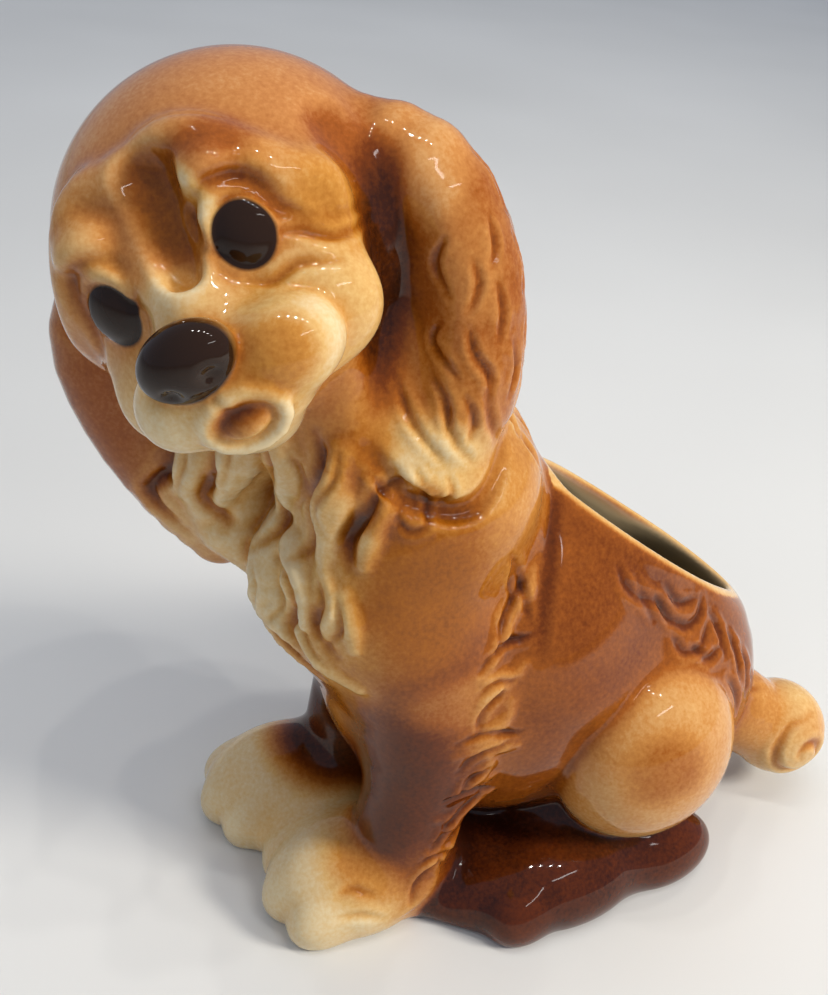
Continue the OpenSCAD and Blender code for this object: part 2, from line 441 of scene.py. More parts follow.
def add_head(dog):
    dog.add(head_egg(SKULL_AT, SKULL_R), 4, "head")
    dog.add(head_egg((0, -12, -7), (26, 22, 18)), 12, "head")
    dog.add(head_egg((0, -33, -2), (7, 9, 9)), 6, "muzzle")
    dog.add(head_egg((0, -35, -15), (16.5, 14.5, 13)), 5, "muzzle")
    for side, name in SIDES:
        dog.add(head_egg((side * 16, -26, -13.5), (12.5, 9.6, 11)), 6, "cheek_" + name)
        dog.add(face_ridge(BROW_ARCH, side), 6, "brow_" + name)
        dog.add(head_egg((side * 13, -30.6, 17), (6, 4.6, 4.6)), 3, "brow_" + name)
        dog.add(face_ridge(BROW_INNER, side), 2.5, "brow_" + name)
        dog.add(head_egg((side * 14.5, -37.5, 5), (7, 5, 7.5)), 2.5, None, cut=True)
        dog.add(face_ridge(UPPER_LID, side), 1.2, "brow_" + name)
        dog.add(face_ridge(LOWER_LID, side), 1.2, "cheek_" + name)
        eye = head_egg((side * EYE_X, -31.4, EYE_Z), (5.8, 3.6, 6.4), turned(Z, side * EYE_TURN))
        dog.add(eye, 0.7, "eye_" + name)
        dog.add(head_egg((side * 10, -38.5, -14.5), (9.8, 9.8, 9.2)), 1.8, "muzzle")
    dog.add(head_egg((12.6, -37.2, -14.8), (9.8, 10, 8.6)), 1.2, "muzzle")
    dog.add(head_egg((-3, -32, -23.5), (8.6, 11.5, 7.6), turned(X, -20)), 3.5, "chin")
    dog.add(run([(4.5, -33.5, 22, 6), (4, -36, 16, 6.2), (3, -37, 9.5, 5.4),
                 (2.4, -37, 5, 3.6)], HEAD), 2.2, None, cut=True)
    ring = [(1 + 7.8 * math.cos(a), -46.4 - 2.2 * math.sin(a), -21 + 5.4 * math.sin(a), 1.3)
            for a in np.linspace(0, 2 * math.pi, 13)]
    dog.add(run(ring, HEAD, 1), 1.6, "chin")
    dog.add(head_egg((1, -50.3, -21.3), (5.8, 3.8, 3.9), turned(X, -25)), 1.2, None, cut=True)
    dog.add(head_egg((1, -45.8, -20.6), (5.0, 2.6, 3.6), turned(X, -25)), 1.0, "tongue")
    dog.add(head_egg((NOSE_X, -48, NOSE_Z), (9.4, 6.3, 6.8), turned(X, NOSE_TURN)), 1.0, "nose")
    for side in (LEFT, RIGHT):
        nostril = head_egg((NOSE_X + side * 4.6, -53.6, -11), (2.5, 3, 1.9))
        dog.add(nostril, 1.2, None, cut=True)


def add_ears(dog):
    dog.add(run([(-16, -52, 190, 8, 9, 9), (-4, -38, 185, 11, 12, 12), (5, -30, 167, 11, 12, 13),
                 (9, -30, 148, 12.5, 12, 13), (11, -34, 138, 11.5, 12, 9.5)]), 2.5, "ear_left")
    dog.add(run([(-10, -46, 184, 7), (-5, -42, 172, 8.5), (-3, -40, 160, 8.5),
                 (0, -39, 148, 8), (4, -38, 138, 7)]), 2.0, "ear_left")
    beads = [(y, z, radius, 2 * radius - depth) for y, z, radius, depth in EAR_VALLEY]
    valley = set_in(dog, [("ear_left", from_left, beads)])[0]
    dog.add(run(valley), 5, None, cut=True)
    beads = [(y, z, 3, 6 - depth) for y, z, depth in EAR_GAP]
    dog.add(run(set_in(dog, [("ear_left", from_left, beads)])[0]), 1.2, None, cut=True)
    dog.add(run([(-35, -88, 162, 9, 11, 11), (-38, -93, 143, 12.5, 13.5, 13),
                 (-36, -89, 125, 13.5, 13.5, 13), (-30, -81, 108, 11.5, 11.5, 12),
                 (-24, -73, 95, 8.5, 8.5, 8.5)]), 2.5, "ear_right")


def add_fur(dog):
    """The modelled tufts of the throat and chest, and the bands of locks on the flanks."""
    dog.add(run([(-8, -62, 136, 9), (-19, -71, 119, 10), (-18, -70, 102, 8)]), 5, "throat_ruff")
    dog.add(run([(-14, -58, 142, 11), (-27, -74, 130, 8)]), 4, "throat_ruff")
    tufts = [("throat_ruff", from_front, beads) for beads in THROAT_TUFTS]
    tufts += [("chest_ruff", from_front, beads) for beads in CHEST_TUFTS]
    tufts += [("flank_locks_left", from_left, beads) for beads in flank_locks(0.0)]
    tufts += [("flank_locks_right", from_right, beads) for beads in flank_locks(0.9)]
    for (piece, _, _), beads in zip(tufts, set_in(dog, tufts)):
        dog.add(run(beads), 1.2, piece)


THROAT_TUFTS = [
    [(-16, 130, 8, 3), (-19, 118, 8, 5), (-17, 103, 5, 3)],
    [(-8, 136, 6, 3), (-8, 125, 6.5, 4.5), (-12, 111, 2.6, 1.6)],
    [(2, 138, 5.5, 3), (1, 127, 6, 4), (-3, 112, 2.6, 1.6)],
    [(14, 136, 3.5, 1.5), (13, 127, 5.2, 3.6), (12, 118, 4.6, 3), (15, 107, 1.8, 1)],
    [(20, 130, 2.6, 0.8), (20, 122, 3.8, 2.2), (21, 112, 1.8, 1)],
]
CHEST_TUFTS = [
    [(-4, 107, 8, 3), (-3, 97, 9, 5), (3, 87, 6, 3.4), (10, 80, 3, 1.5)],
    [(-14, 101, 7, 3), (-14, 92, 8, 4), (-10, 81, 4, 2)],
    [(4, 108, 4, 2.4), (9, 102, 4.6, 3.4), (14, 94, 2, 1.4)],
    [(15, 106, 3, 1.4), (18, 99, 3.4, 2), (18, 91, 1.6, 1)],
    [(20, 104, 2.4, 0.8), (23, 98, 2.8, 1.5), (24, 92, 1.4, 0.8)],
    [(12, 90, 3, 1.2), (17, 84, 3.4, 1.8), (23, 79, 1.8, 1)],
]
LOCK_BAND = [(-18, 97), (-23, 84), (-25, 72), (-26, 60), (-27, 48), (-29, 36), (-33, 25), (-38, 13)]
LOCK_COUNT = 12


def lock_line(turn_number, sway, reach):
    """One curling lock of the flank band, as (y, z) points."""
    band = smooth_path(LOCK_BAND, 6)
    at = band[int(round(turn_number / LOCK_COUNT * (len(band) - 1)))]
    lean = math.radians(24 + 34 * math.sin(2.3 * turn_number + sway))
    half = reach * (4.6 + 1.2 * math.sin(1.7 * turn_number + sway))
    bend = 2.4 * (1 if turn_number % 2 else -0.6)
    line = []
    for u in (-1.0, -0.4, 0.2, 0.75, 1.1):
        along, across = u * half, bend * (1 - u * u) + (1.8 if u > 1 else 0)
        line.append((at[0] + along * math.cos(lean) - across * math.sin(lean),
                     at[1] + along * math.sin(lean) + across * math.cos(lean)))
    return line


def flank_locks(sway):
    beads = []
    for i in range(LOCK_COUNT + 1):
        sizes = [(1.2, 0.2), (2.2, 0.7), (2.6, 1.0), (2.0, 0.8), (1.2, 0.3)]
        beads.append([p + size for p, size in zip(lock_line(i, sway, 1.3), sizes)])
    return beads


def flank_grooves(sway):
    return [lock_line(i + 0.5, sway, 1.4) for i in range(LOCK_COUNT)]


# --- Strokes cut into the finished surface ---

EAR_VALLEY = [(-58, 197, 4, 0.8), (-54, 192, 5, 2.4), (-50, 183, 6, 3.4), (-48, 172, 6.5, 3.6),
              (-47, 160, 6.5, 3.6), (-48, 150, 6, 3.2), (-50, 142, 5, 1.8)]
EAR_GAP = [(-53, 137, 0.8), (-49, 130, 2.4), (-42, 126, 2.8), (-34, 125, 2.8), (-28, 128, 2.0),
           (-23, 134, 0.4)]
EAR_GROOVES = [
    [(-38, 178), (-39, 173), (-37, 167)], [(-33, 175), (-32, 170), (-34, 165)],
    [(-38, 162), (-39, 157), (-36, 152)], [(-34, 162), (-33, 157), (-30, 152)],
    [(-32, 157), (-30, 153), (-30, 148)], [(-40, 152), (-38, 147), (-38, 142)],
    [(-28, 171), (-27, 165), (-28, 159)], [(-24, 159), (-23, 153), (-25, 147)],
    [(-35, 149), (-33, 144), (-34, 139)], [(-29, 182), (-28, 177), (-29, 173)],
]
EAR_TIP = [[(-46, 150), (-44, 142), (-38, 134)], [(-39, 148), (-37, 140), (-32, 134)],
           [(-31, 150), (-29, 143), (-26, 137)]]
SADDLE_EDGE = [[(-3, 117), (-5, 111), (-8, 103), (-12, 93), (-13, 84)]]
NECK_WAVES = [[(-22, 111), (-18, 105), (-16, 98), (-15, 91)], [(-20, 107), (-19, 101), (-19, 96)]]
SADDLE_GROOVES = [
    [(10, 99), (12, 94), (18, 88), (21, 83)], [(15, 95), (18, 90), (23, 86), (27, 80)],
    [(22, 88), (26, 82), (32, 78), (37, 79), (38, 83)], [(25, 90), (30, 84), (36, 83)],
    [(27, 78), (30, 73), (36, 72), (40, 76)], [(33, 74), (38, 69), (44, 70)],
    [(41, 78), (44, 73), (45, 67)], [(47, 72), (50, 66), (51, 58)],
    [(52, 66), (55, 59), (55, 51)], [(45, 62), (49, 56), (51, 48)], [(57, 57), (60, 50), (60, 42)],
]
RUMP_GROOVES = [
    [(-14, 60), (-12, 52), (-14, 44)], [(-8, 56), (-5, 48), (-7, 40)], [(0, 60), (2, 52), (0, 45)],
    [(-20, 52), (-19, 44), (-22, 38)], [(12, 60), (14, 53), (12, 46)], [(20, 52), (21, 45), (19, 38)],
]
CHEST_PARTINGS = [
    [(10, 139), (12, 131), (9, 122), (11, 114), (8, 107)], [(19, 133), (20, 125), (17, 117), (19, 110)],
    [(0, 137), (2, 128), (-2, 119), (0, 110), (-4, 103)], [(-10, 132), (-8, 123), (-12, 113), (-10, 104)],
    [(-20, 127), (-19, 118), (-22, 109), (-19, 100)], [(3, 104), (9, 103), (12, 97), (10, 90), (15, 84)],
    [(-8, 101), (-4, 94), (-6, 87), (0, 81)], [(15, 106), (18, 101), (17, 95), (21, 88)],
    [(2, 86), (9, 82), (14, 76)],
]
CHEST_STRANDS = [
    [(15, 137), (16, 130), (13, 122), (15, 116)], [(6, 134), (7, 126), (4, 117)],
    [(-5, 134), (-4, 126), (-7, 117)], [(-15, 128), (-14, 120), (-17, 112)],
    [(-2, 101), (1, 95), (0, 88), (5, 82)], [(5, 99), (7, 94), (5, 88)], [(20, 103), (22, 97), (20, 91)],
    [(13, 96), (15, 90), (20, 84)], [(-13, 98), (-12, 90), (-9, 83)],
]
NECK_CURL = [[(-51, 127), (-47, 131), (-42, 128), (-42, 123), (-46, 121), (-48, 124), (-46, 126)],
             [(-54, 133), (-51, 130), (-49, 126)], [(-45, 135), (-43, 131), (-40, 129)],
             [(-38, 133), (-37, 129), (-39, 126)]]
LEG_GROOVES = [[(-50, 16), (-55, 18), (-59, 17)], [(-48, 9), (-54, 12), (-60, 12)]]
FACE_FOLDS = [
    [(8, 6), (8.6, 11), (12, 14.6), (17, 14.4), (20.5, 10.5), (22, 5), (25, 0), (30, -3)],
    [(19.6, 1.5), (22, 0), (26, -4), (30, -6)], [(11, -2.4), (15, -4.4), (20, -4.4), (26, -8)],
]
LIP_LINES = [[(0, -14), (0, -18)]]


def tail_spiral():
    """One turn and a half of a spiral on the side of the tail."""
    _, y, z = middle("tail_curl")
    turns = np.linspace(0.2, 1.55, 12) * 2 * math.pi
    return [(y - 1 + (12.5 - 1.1 * t) * math.cos(t), z + (12.5 - 1.1 * t) * math.sin(t))
            for t in turns]


def mirrored_strokes(lists, shift):
    """The other side's strokes: the same flow, nudged so that the sides aren't twins."""
    return [[(a + shift * math.sin(3 * i + k), b + shift * math.cos(2 * i + k))
             for k, (a, b) in enumerate(points)] for i, points in enumerate(lists)]


def waves(spine, half_width, rows, columns, reach):
    """Short wavy locks, laid in staggered columns along a spine of (a, b) points."""
    path = smooth_path(spine, 8)
    lines = []
    for row in range(rows):
        for column in range(columns):
            t = (row + 0.3 + 0.5 * (column % 2)) / rows
            i = min(int(t * (len(path) - 1)), len(path) - 2)
            ahead = (path[i + 1] - path[i]) / np.linalg.norm(path[i + 1] - path[i])
            across = np.array([-ahead[1], ahead[0]])
            at = path[i] + across * half_width * ((2 * column + 1) / columns - 1)
            wave = across * 1.4 * math.sin(2.1 * row + 1.7 * column)
            lines.append([tuple(at - ahead * reach / 2), tuple(at + wave),
                          tuple(at + ahead * reach / 2 - wave * 0.5)])
    return lines


EAR_RIGHT_SPINE = [(-88, 166), (-96, 145), (-91, 122), (-80, 101)]
EAR_BACK_SPINE = [(-2, 186), (6, 168), (9, 150), (11, 137)]
NAPE_SPINE = [(-6, 152), (-1, 138), (0, 124)]
NECK_RIGHT_SPINE = [(-42, 150), (-32, 132), (-26, 114)]
CHEST_RIGHT_SPINE = [(-60, 116), (-58, 98), (-54, 82)]


def all_strokes():
    """Every stroke: its view, its points, its half width, its depth and its raised lip."""
    by_view = {
        from_left: [
            (EAR_GROOVES, 0.8, 0.8, 0.35), (EAR_TIP, 0.9, 0.7, 0.3), (SADDLE_EDGE, 1.8, 0.6, 0.2),
            (NECK_WAVES, 1.0, 0.9, 0.4), (flank_grooves(0.0), 0.9, 1.0, 0.35),
            (SADDLE_GROOVES, 1.1, 0.6, 0.5), (NECK_CURL, 0.7, 0.5, 0.3),
            (LEG_GROOVES, 1.1, 0.6, 0.2), ([tail_spiral()], 1.4, 1.2, 0.3),
        ],
        from_front: [(CHEST_PARTINGS, 1.7, 2.0, 0.4), (CHEST_STRANDS, 0.8, 0.7, 0.3)],
        from_face: [
            (FACE_FOLDS[:1], 1.5, 0.9, 0.4), (FACE_FOLDS[1:], 1.0, 1.0, 0.4),
            ([[(-a, b) for a, b in FACE_FOLDS[0]]], 1.5, 0.8, 0.3), (LIP_LINES, 1.0, 0.7, 0.2),
        ],
        from_behind: [
            (RUMP_GROOVES, 1.1, 0.8, 0.4), (waves(EAR_BACK_SPINE, 8, 4, 3, 12), 0.8, 0.7, 0.35),
            (waves(NAPE_SPINE, 15, 3, 6, 10), 0.9, 0.7, 0.35),
        ],
        from_right: [
            (waves(EAR_RIGHT_SPINE, 9, 5, 4, 13), 0.8, 0.8, 0.35),
            (waves(NECK_RIGHT_SPINE, 12, 3, 4, 11), 0.9, 0.7, 0.35),
            (waves(CHEST_RIGHT_SPINE, 10, 3, 3, 14), 1.1, 1.0, 0.4),
            (flank_grooves(0.9), 0.9, 1.0, 0.35), (mirrored_strokes(NECK_WAVES, 0.8), 1.0, 0.9, 0.4),
            (mirrored_strokes(SADDLE_GROOVES, 1.0), 1.1, 0.8, 0.4),
        ],
    }
    return [(view, points, width, depth, lip) for view, sets in by_view.items()
            for lists, width, depth, lip in sets for points in lists]


def carve(skin, dog, normal):
    """Cuts the strokes along the normals; returns the places and how far each one rose."""
    strokes = all_strokes()
    paths = [smooth_path(points, 4) for _, points, _, _, _ in strokes]
    views = [stroke[0] for stroke, path in zip(strokes, paths) for _ in path]
    places = on_surface(dog, views, [tuple(q) for path in paths for q in path])
    cols = np.ascontiguousarray(skin.places.T)
    height = np.zeros(skin.count, dtype=np.float32)
    at = 0
    for (_, _, width, depth, lip), path in zip(strokes, paths):
        line = places[at:at + len(path)]
        at += len(path)
        near = Form(None, line.min(axis=0), line.max(axis=0)).near(cols, 4 * width)
        if len(near) == 0:
            continue
        q = skin.places[near]
        best = np.full(len(near), 1e3, dtype=np.float32)
        along = np.zeros(len(near), dtype=np.float32)
        for i, (a, b) in enumerate(zip(line[:-1], line[1:])):
            t, away = beside(q, a, b)
            d = length(away)
            closer = d < best
            best[closer] = d[closer]
            along[closer] = (i + t[closer]) / (len(line) - 1)
        taper = np.sin(np.pi * np.clip(along, 0.03, 0.97)) ** 0.6
        size = width * (0.6 + 0.4 * taper)
        groove = depth * taper * np.exp(-(best / size) ** 2)
        edge = lip * taper * np.exp(-((best - 2.1 * size) / size) ** 2)
        height[near] += edge - groove
    height = np.clip(height, -2.4, 0.9)
    return skin.places + normal * height[:, None], height


def build_dog():
    dog = Figure()
    add_body(dog)
    add_tail(dog)
    add_legs(dog)
    add_fur(dog)
    add_head(dog)
    add_ears(dog)
    return dog


# --- From the field to a mesh ---


def grid_nodes(mask, low):
    """The places of the marked grid nodes."""
    return (low + np.argwhere(mask) * VOXEL).astype(np.float32)


def sampled(dog, low, high):
    """The field on a grid, filled in only near the surface."""
    step = VOXEL * BLOCK
    blocks = np.ceil((high - low) / step).astype(int)
    centres = low + (np.argwhere(np.ones(blocks, dtype=bool)) + 0.5) * step
    coarse = in_parts(dog.distance, centres.astype(np.float32)).reshape(blocks)
    active = np.abs(coarse) < step * 0.5 * math.sqrt(3) + 1.2
    cells = active.repeat(BLOCK, 0).repeat(BLOCK, 1).repeat(BLOCK, 2)
    nodes = np.zeros(np.array(cells.shape) + 1, dtype=bool)
    across, along, up = cells.shape
    for dx, dy, dz in CUBE:
        nodes[dx:dx + across, dy:dy + along, dz:dz + up] |= cells
    values = np.full(nodes.shape, FAR, dtype=np.float32)
    values[nodes] = in_parts(dog.distance, grid_nodes(nodes, low))
    return values, cells


def surface_net(values, cells, low):
    """Corners and quads of the zero surface, one corner in each cell that it crosses."""
    inside = values < 0
    count = np.zeros(cells.shape, dtype=np.uint8)
    shape = cells.shape
    for dx, dy, dz in CUBE:
        count += inside[dx:dx + shape[0], dy:dy + shape[1], dz:dz + shape[2]]
    mixed = cells & (count > 0) & (count < 8)
    i, j, k = np.nonzero(mixed)
    corner = np.stack([values[i + dx, j + dy, k + dz] for dx, dy, dz in CUBE], axis=1)
    total = np.zeros((len(i), 3), dtype=np.float32)
    hits = np.zeros(len(i), dtype=np.float32)
    cube = np.array(CUBE)
    for a, b in combinations(range(8), 2):
        if np.abs(cube[a] - cube[b]).sum() != 1:
            continue
        va, vb = corner[:, a], corner[:, b]
        crosses = (va < 0) != (vb < 0)
        t = np.where(crosses, va / np.where(crosses, va - vb, 1), 0)[:, None]
        total += np.where(crosses[:, None], cube[a] + t * (cube[b] - cube[a]), 0)
        hits += crosses
    places = np.stack([i, j, k], axis=1) + total / hits[:, None]
    places = (low + places * VOXEL).astype(np.float32)
    number = np.full(shape, -1, dtype=np.int32)
    number[mixed] = np.arange(len(i))
    quads = []
    for axis in range(3):
        u, v = [a for a in range(3) if a != axis]
        first = [slice(1, n) for n in shape]
        first[axis] = slice(0, shape[axis])
        second = list(first)
        second[axis] = slice(1, shape[axis] + 1)
        here, there = inside[tuple(first)], inside[tuple(second)]
        edges = np.argwhere(here != there)
        ring = []
        for du, dv in ((0, 0), (1, 0), (1, 1), (0, 1)):
            cell = edges.copy()
            cell[:, u] += du
            cell[:, v] += dv
            ring.append(number[tuple(cell.T)])
        ring = np.stack(ring, axis=1)
        leaving = here[tuple(edges.T)]
        if axis == 1:
            leaving = ~leaving
        ring[~leaving] = ring[~leaving][:, ::-1]
        quads.append(ring)
    quads = np.concatenate(quads)
    return places, quads[(quads >= 0).all(axis=1)]


TETRA = vec(1, 1, 1, 1, -1, -1, -1, 1, -1, -1, -1, 1).reshape(4, 3)


def field_and_slope(dog, p, reach=0.25):
    """The field and its slope at each point."""
    samples = [in_parts(dog.distance, p + reach * t) for t in TETRA]
    slope = sum(t * s[:, None] for t, s in zip(TETRA, samples)) / (4 * reach)
    return sum(samples) / 4, slope


def edges_of(quads):
    """Where each quad's four edges start, and where they end."""
    start = np.concatenate([quads[:, i] for i in range(4)])
    end = np.concatenate([quads[:, (i + 1) % 4] for i in range(4)])
    return start, end


class Skin:
    """The whole outer surface: corners, quads, and sums over each corner's neighbours."""

    def __init__(self, places, quads):
        self.places = places
        self.quads = quads
        self.count = len(places)
        self.edge_from, self.edge_to = edges_of(quads)
        degree = np.bincount(self.edge_from, minlength=self.count)
        self.degree = np.maximum(degree, 1).astype(np.float32)

    def spread(self, values):
        """Each corner's mean over its neighbours. Every edge lies in two quads, once each way."""
        if values.ndim == 1:
            return np.bincount(self.edge_from, values[self.edge_to], self.count) / self.degree
        return np.stack([self.spread(values[:, c]) for c in range(values.shape[1])], axis=1)

    def smoothed(self, values, rounds):
        for _ in range(rounds):
            values = (values + self.spread(values)) / 2
        return values.astype(np.float32)

    def normals(self, places):
        a, b, c, d = [places[self.quads[:, i]] for i in range(4)]
        across = np.cross(c - a, d - b)
        total = np.zeros((self.count, 3))
        for i in range(4):
            for axis in range(3):
                total[:, axis] += np.bincount(self.quads[:, i], across[:, axis], self.count)
        return (total / np.maximum(length(total), 1e-9)[:, None]).astype(np.float32)


def sculpt(dog):
    boxes = np.array([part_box(name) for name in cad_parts], dtype=np.float32) / MM
    low = boxes[:, 0].min(axis=0) - 3
    high = boxes[:, 1].max(axis=0) + 3
    low[2] = -VOXEL * 2.5
    values, cells = sampled(dog, low, high)
    places, quads = surface_net(values, cells, low)
    skin = Skin(places, quads)
    for _ in range(2):
        d, slope = field_and_slope(dog, skin.places)
        slope /= np.maximum((slope * slope).sum(axis=1), 0.2)[:, None]
        skin.places = skin.places - np.clip(d, -0.5, 0.5)[:, None] * slope
        normal = slope / np.maximum(length(slope), 1e-6)[:, None]
        pull = skin.spread(skin.places) - skin.places
        pull -= normal * (pull * normal).sum(axis=1)[:, None]
        skin.places = (skin.places + 0.4 * pull).astype(np.float32)
    return skin


# --- Glaze: the slot of each part, how much stain it carries, and how warm that is ---

GLAZES = {
    "planter_body": ("rust", 0.72, 0.6), "pocket_rim": ("rim", 0.25, 0.2),
    "chest": ("ochre", 0.5, 0.25), "neck": ("ochre", 0.5, 0.35),
    "chest_ruff": ("cream", 0.16, 0.15), "throat_ruff": ("cream", 0.2, 0.2),
    "head": ("tan", 0.42, 0.75), "muzzle": ("cream", 0.14, 0.2),
    "chin": ("cream", 0.1, 0.2), "nose": ("black", 0.6, 0.5),
    "tongue": ("brown", 0.7, 0.6), "eye": ("black", 0.6, 0.5),
    "brow": ("tan", 0.42, 0.5), "cheek": ("cream", 0.2, 0.25),
    "ear": ("tan", 0.58, 0.6), "foreleg": ("rust", 0.86, 0.8),
    "forepaw": ("cream", 0.1, 0.2), "haunch": ("tan", 0.34, 0.45),
    "hind_foot": ("brown", 0.9, 1.0), "flank_locks": ("tan", 0.46, 0.3),
    "base": ("brown", 0.92, 1.0), "tail_root": ("rust", 0.42, 0.4),
    "tail_curl": ("cream", 0.22, 0.3),
}
PAIRED = ("eye", "brow", "cheek", "ear", "foreleg", "forepaw", "haunch", "hind_foot", "flank_locks")
LOOKS = {part + ending: look for part, look in GLAZES.items()
         for ending in (("_left", "_right") if part in PAIRED else ("",))}
PIECES = list(LOOKS)
SPRAY_CORE, SPRAY_EDGE = 0.45, 1.25
FOOT_TONE = 0.95
RIM_STAIN, RIM_WARMTH = 0.2, 0.1


class Paint:
    """Glaze values at each corner: stain with a few painted highlights and patches of painted shade,
    warmth, and how far it lies from the black glaze.
    """

    def __init__(self, places, stain_and_shading, warm):
        self.places = places
        self.stain_and_shading = stain_and_shading.astype(np.float32)
        self.warm = warm.astype(np.float32)
        self.black = np.full(len(places), FAR, dtype=np.float32)

    def spray(self, at, radii, stain_and_shading, warm, amount, place):
        """A soft oval, at full strength in its core and gone a little beyond its radii."""
        q = (place.inside(self.places) - vec(*at)) / vec(*radii)
        share = (1 - ramp(length(q), SPRAY_CORE, SPRAY_EDGE)) * amount
        self.stain_and_shading += share * (stain_and_shading - self.stain_and_shading)
        self.warm += share * (warm - self.warm)

    def blacken(self, q, radii, scale):
        """Black inside an oval; the distance from its edge comes out in about millimetres."""
        self.black = np.minimum(self.black, (length(q / vec(*radii)) - 1) * scale)


def pair(at, *spray):
    """The same spray on both flanks."""
    return [((side * at[0],) + at[1:],) + spray for side in (LEFT, RIGHT)]


# Each spray: its centre, its radii, the stain and warmth that it leaves, and its strength. A few,
# marked below, are painted highlights and painted shade. Those of the face are in the head's frame.
FACE_SPRAYS = [
    # The second spray here, lighter on the crown, is a painted highlight.
    ((0, -10, 36), (30, 30, 14), 0.42, 0.85, 0.6), ((-10, -8, 38), (20, 20, 12), 0.28, 0.8, 0.6),
    ((4, -33, 15), (6.5, 10, 11), 0.64, 0.15, 1.0), ((17, -30, 20), (11, 9, 7), 0.66, 0.7, 0.9),
    ((11.5, -34, 13), (2.8, 6, 8), 0.2, 0.1, 0.9), ((19, -30, 12), (6, 6, 5), 0.55, 0.35, 0.8),
    ((27, -22, 0), (10, 12, 12), 0.46, 0.1, 0.9), ((-15, -30, 16), (10, 9, 9), 0.4, 0.45, 0.9),
    ((-11, -34, 10), (4, 6, 6), 0.22, 0.2, 0.6), ((0, -38, 1), (7, 7, 6), 0.17, 0.2, 0.9),
    ((15, -36, -6), (9, 8, 5), 0.28, 0.1, 0.8), ((12, -46, -14), (9.5, 9, 8), 0.5, 0.2, 1.0),
    ((-9, -44, -17), (8, 9, 8), 0.12, 0.2, 0.9), ((23, -26, -14), (8, 10, 9), 0.34, 0.1, 0.8),
    ((1, -49, -21), (6.4, 6, 4.4), 0.76, 0.45, 1.0), ((2, -38, -26), (14, 14, 7), 0.12, 0.15, 0.8),
    ((-30, -16, 4), (9, 12, 14), 0.46, 0.8, 0.8),
]
BODY_SPRAYS = [
    # The first spray here, lighter on the top of the left ear, is a painted highlight.
    ((3, -40, 195), (13, 15, 9), 0.24, 0.6, 0.5), ((8, -20, 140), (12, 8, 16), 0.24, 0.3, 0.7),
    ((-30, -62, 130), (11, 12, 22), 0.5, 0.5, 0.8), ((1, -56, 195), (7, 9, 10), 0.66, 0.75, 0.7),
    ((6, -49, 171), (12, 7.5, 31), 0.95, 0.5, 1.0), ((8, -40, 187), (6, 7, 9), 0.34, 0.6, 0.8),
    ((14, -34, 172), (8, 8, 16), 0.48, 0.55, 0.8), ((15, -38, 150), (8, 9, 12), 0.52, 0.35, 0.7),
    # The second spray here, darker just below the left ear, is painted shade under the ear.
    ((15, -40, 135), (16, 17, 10), 0.14, 0.12, 1.0), ((22, -40, 122), (12, 16, 4), 0.7, 0.2, 0.8),
    ((4, -18, 160), (12, 10, 24), 0.5, 0.85, 0.7), ((-36, -96, 130), (18, 16, 22), 0.62, 0.85, 0.8),
    ((-24, -76, 104), (14, 16, 16), 0.2, 0.4, 1.0), ((28, -42, 106), (16, 17, 20), 0.64, 0.1, 1.0),
    ((22, -45, 124), (7, 10, 8), 0.66, 0.25, 0.9), ((18, -20, 124), (14, 14, 12), 0.4, 0.3, 0.9),
    ((16, -55, 135), (7, 8, 9), 0.66, 0.15, 0.8), ((-28, -38, 104), (14, 22, 24), 0.56, 0.3, 0.9),
    ((14, -62, 130), (5, 6, 7), 0.46, 0.15, 0.8), ((0, -68, 104), (17, 10, 26), 0.12, 0.12, 0.9),
    ((30, -34, 76), (12, 14, 9), 0.38, 0.45, 0.6), *pair((48, 18, 53), (12, 12, 11), 0.56, 0.4, 0.9),
    *pair((42, 24, 22), (20, 24, 8), 0.24, 0.15, 0.9), ((21, -38, 46), (19, 19, 27), 0.88, 0.75, 1.0),
    ((-18, -46, 32), (18, 18, 34), 0.94, 0.8, 1.0), *pair((36, 14, 6), (20, 46, 9), 0.98, 0.95, 1.0),
    ((24, -72, 8), (16, 10, 10), 0.08, 0.15, 0.8), ((22, -50, 18), (16, 12, 9), 0.46, 0.3, 0.9),
    ((-14, -84, 8), (16, 10, 10), 0.08, 0.15, 0.8), ((27, 87, 26), (8, 8, 8), 0.4, 0.5, 0.7),
    ((20, 88, 14), (12, 12, 8), 0.14, 0.2, 0.8),
]


def height_at_rim(p):
    """How high points lie against the rim's plane; points away from its oval count as far below."""
    q = RIM.inside(p)
    oval = np.hypot(q[:, 0] / RIM_HALF_W, q[:, 1] / RIM_HALF_L)
    return np.where(oval < 1.06, q[:, 2], -FAR)


